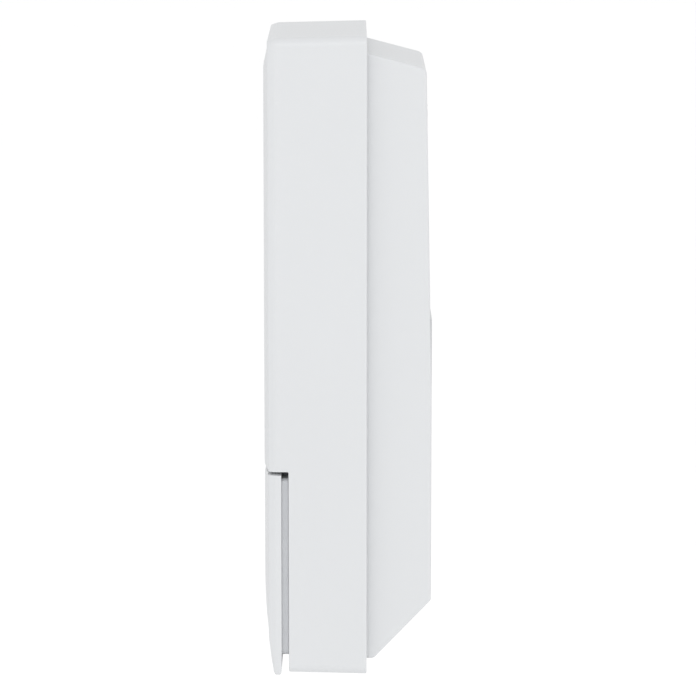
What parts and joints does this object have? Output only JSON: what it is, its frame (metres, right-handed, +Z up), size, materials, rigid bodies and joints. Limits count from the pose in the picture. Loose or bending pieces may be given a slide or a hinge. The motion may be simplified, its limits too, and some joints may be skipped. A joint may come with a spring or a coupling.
{
  "type": "video doorbell",
  "caption": "Slim upright video doorbell: deep front shell with black camera window and floating bell plate, narrower rear shell hung on a hooked wall plate.",
  "frame": {"origin": "centre of the wall plate's rear face, on the wall", "axes": "+Z up, +Y into the wall, the front faces -Y, +X to the right seen from the front"},
  "size_m": [0.046, 0.036, 0.138],
  "materials": {
    "white_plastic": "fine satin texture",
    "plate_plastic": "matte",
    "black_gloss": "polished, infrared clear",
    "black_plastic": "matte",
    "lens_glass": "coated",
    "pir_plastic": "milky, finely ribbed",
    "light_plastic": "frosted diffuser",
    "silicone": "matte",
    "foam": "open cell foam",
    "board": "solder mask",
    "flex": "polyimide film",
    "chip": "moulded epoxy",
    "steel": "plated",
    "tin": "tin plated",
    "led": "clear epoxy",
    "battery_wrap": "shrink film",
    "terminal": "moulded",
    "wire_red": "silicone insulation",
    "wire_black": "silicone insulation"
  },
  "bodies": {
    "wall_plate": {"wall_plate": "plate_plastic"},
    "unit": {"front_housing": "white_plastic", "rear_housing": "white_plastic", "rear_seal": "silicone", "housing_screw_1": "steel", "housing_screw_2": "steel", "housing_screw_3": "steel", "housing_screw_4": "steel", "security_screw": "steel", "camera_window": "black_gloss", "window_gasket": "silicone", "lens_barrel": "black_plastic", "lens_glass": "lens_glass", "camera_bracket": "black_plastic", "sensor_board": "board", "image_sensor": "chip", "ir_board": "board", "ir_baffle": "foam", "light_sensor": "chip", "ir_led_1": "led", "ir_led_2": "led", "ir_led_3": "led", "ir_led_4": "led", "pir_lens": "pir_plastic", "pir_sensor": "tin", "light_guide": "light_plastic", "button_seal": "silicone", "tact_switch": "black_plastic", "ring_led_1": "led", "ring_led_2": "led", "ring_led_3": "led", "ring_led_4": "led", "main_board": "board", "board_screw_1": "steel", "board_screw_2": "steel", "shield_can": "tin", "antenna": "flex", "microphone": "tin", "mic_boot": "silicone", "speaker": "black_plastic", "speaker_gasket": "foam", "speaker_mesh": "black_plastic", "battery_pack": "battery_wrap", "battery_pad": "foam", "battery_connector": "led", "battery_lead_red": "wire_red", "battery_lead_black": "wire_black", "camera_ribbon": "flex", "power_board": "board", "terminal_block": "terminal", "terminal_screw_1": "steel", "terminal_screw_2": "steel", "usb_port": "tin", "tamper_switch": "black_plastic", "power_ribbon": "flex"},
    "bell_plate": {"bell_plate": "white_plastic"},
    "switch_stem": {"switch_stem": "black_plastic"},
    "reset_button": {"reset_button": "black_plastic"},
    "tamper_plunger": {"tamper_plunger": "plate_plastic"}
  },
  "joints": [
    {"name": "unit_swing", "type": "hinge", "parent": "wall_plate", "child": "unit", "pos_m": [0, -0.003, 0.057], "axis": [-1, 0, 0], "range_deg": [0, 12]},
    {"name": "bell_press", "type": "slide", "parent": "unit", "child": "bell_plate", "axis": [0, 1, 0], "range_m": [0, 0.0008], "stiffness_N_per_m": 1500, "springref_m": -0.0006},
    {"name": "switch_stem_press", "type": "slide", "parent": "unit", "child": "switch_stem", "axis": [0, 1, 0], "range_m": [0, 0.0004]},
    {"name": "reset_press", "type": "slide", "parent": "unit", "child": "reset_button", "axis": [0, -1, 0], "range_m": [0, 0.0004], "stiffness_N_per_m": 800, "springref_m": -0.0004},
    {"name": "tamper_press", "type": "slide", "parent": "unit", "child": "tamper_plunger", "axis": [0, -1, 0], "range_m": [0, 0.0008], "stiffness_N_per_m": 300, "springref_m": -0.0006}
  ],
  "couplings": [
    {"joint": "switch_stem_press", "follows": "bell_press", "ratio": 0.5}
  ]
}
